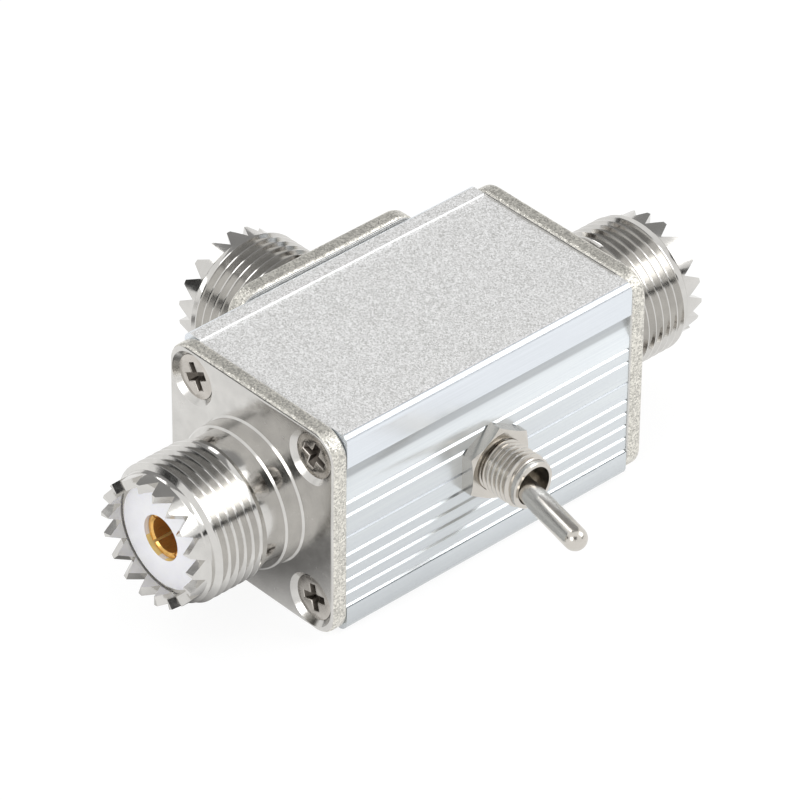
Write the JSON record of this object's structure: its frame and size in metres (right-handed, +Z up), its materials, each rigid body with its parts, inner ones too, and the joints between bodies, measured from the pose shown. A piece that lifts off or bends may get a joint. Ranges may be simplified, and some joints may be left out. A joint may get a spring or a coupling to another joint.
{
  "type": "coaxial antenna switch",
  "caption": "Two-way coaxial antenna switch: ribbed aluminium box with toothed, threaded flange sockets on both ends and the back, and a miniature toggle in front.",
  "frame": {"origin": "surface that the flanges stand on, under the crossing of the three socket axes", "axes": "+X along the box towards the right socket, -Y towards the toggle, +Z up"},
  "size_m": [0.0722, 0.0581, 0.0254],
  "materials": {
    "blasted_aluminium": "bead blasted, clear anodised",
    "anodised_aluminium": "extruded, clear anodised, satin",
    "nickel_plated_brass": "bright nickel plate",
    "polished_nickel": "bright nickel plate",
    "white_insulator": "smooth white resin",
    "gold_contact": "gold plate",
    "screw_steel": "nickel plated steel",
    "plain_steel": "plated sheet steel",
    "moulded_plastic": "moulded thermoset",
    "nylon": "moulded nylon",
    "silvered_copper": "silver plate",
    "tinned_wire": "tinned copper"
  },
  "bodies": {
    "root": {"upper_shell": "blasted_aluminium", "lower_shell": "anodised_aluminium", "left_socket_shell": "nickel_plated_brass", "left_insulator": "white_insulator", "left_centre_contact": "gold_contact", "left_end_screws": "screw_steel", "right_socket_shell": "nickel_plated_brass", "right_insulator": "white_insulator", "right_centre_contact": "gold_contact", "right_end_screws": "screw_steel", "rear_socket_shell": "nickel_plated_brass", "rear_insulator": "white_insulator", "rear_centre_contact": "gold_contact", "rear_flange_screws": "screw_steel", "toggle_bushing": "polished_nickel", "panel_nut": "polished_nickel", "lock_washer": "plain_steel", "locating_washer": "plain_steel", "toggle_frame": "plain_steel", "switch_case": "moulded_plastic", "terminal_base": "moulded_plastic", "terminal_common": "silvered_copper", "terminal_left": "silvered_copper", "terminal_right": "silvered_copper", "wire_common": "tinned_wire", "wire_left": "tinned_wire", "wire_right": "tinned_wire"},
    "lever": {"toggle_lever": "polished_nickel", "lever_plunger": "nylon", "plunger_spring": "plain_steel"},
    "rocker": {"rocker_contact": "silvered_copper"}
  },
  "joints": [
    {"name": "lever_throw", "type": "hinge", "parent": "root", "child": "lever", "pos_m": [0, -0.0148, 0.0127], "axis": [0, 0, 1], "range_deg": [0, 24.8]},
    {"name": "rocker_tilt", "type": "hinge", "parent": "root", "child": "rocker", "pos_m": [0, -0.0055, 0.0127], "axis": [0, 0, 1], "range_deg": [-20, 0]}
  ],
  "couplings": [
    {"joint": "rocker_tilt", "follows": "lever_throw", "ratio": -0.8064}
  ]
}
